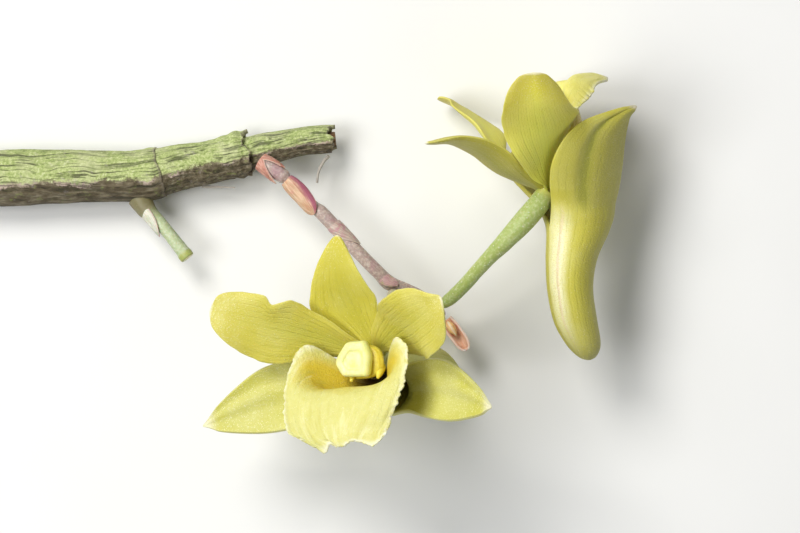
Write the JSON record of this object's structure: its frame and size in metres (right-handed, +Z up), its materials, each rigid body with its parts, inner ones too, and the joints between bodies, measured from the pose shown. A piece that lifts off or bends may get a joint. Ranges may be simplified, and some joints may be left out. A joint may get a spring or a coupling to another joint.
{
  "type": "dendrobium cerinum flowering cane",
  "caption": "Cut piece of old orchid cane lying down, wrapped in dry sheaths, with a mauve stalk carrying waxy yellow flowers with long spurs.",
  "frame": {"origin": "on the surface under the lower sheath, in the middle of the flat strip it rests on", "axes": "+X along the cane towards the flowers, +Z up from the surface"},
  "size_m": [0.1044, 0.0522, 0.0417],
  "materials": {
    "cane_core": "dry split wood",
    "cap_cream": "waxy petal",
    "column_yellow": "waxy petal",
    "dry_fibre": "dry fibrous",
    "dry_sheath": "dry fibrous, grey-brown with green algae",
    "lip_yellow": "waxy petal",
    "mauve_stalk": "smooth stem",
    "orange_scale": "fresh papery",
    "pale_bract": "dry papery",
    "papery_bract": "dry papery",
    "peach_bract": "fresh papery",
    "pedicel_green": "waxy stem",
    "petal_yellow": "waxy petal",
    "sepal_yellow": "waxy petal",
    "stub_green": "smooth stem"
  },
  "bodies": {
    "root": {"base_bract_inner": "papery_bract", "base_bract_outer": "papery_bract", "cane": "cane_core", "floral_bract": "peach_bract", "front_anther_cap": "cap_cream", "front_column": "column_yellow", "front_dorsal_sepal": "sepal_yellow", "front_lateral_sepals": "sepal_yellow", "front_lip": "lip_yellow", "front_pedicel": "pedicel_green", "front_petal_left": "petal_yellow", "front_petal_right": "petal_yellow", "old_stub": "stub_green", "rachis": "mauve_stalk", "sheath_lower": "dry_sheath", "sheath_middle": "dry_sheath", "sheath_upper": "dry_sheath", "side_anther_cap": "cap_cream", "side_column": "column_yellow", "side_dorsal_sepal": "sepal_yellow", "side_lateral_sepals": "sepal_yellow", "side_lip": "lip_yellow", "side_pedicel": "pedicel_green", "side_petal_left": "petal_yellow", "side_petal_right": "petal_yellow", "small_sheath": "peach_bract", "spathe_bract": "peach_bract", "splinter": "dry_fibre", "stub_bract": "pale_bract", "terminal_bract": "peach_bract", "terminal_scale": "orange_scale", "tip_fibre": "dry_fibre"}
  },
  "joints": []
}
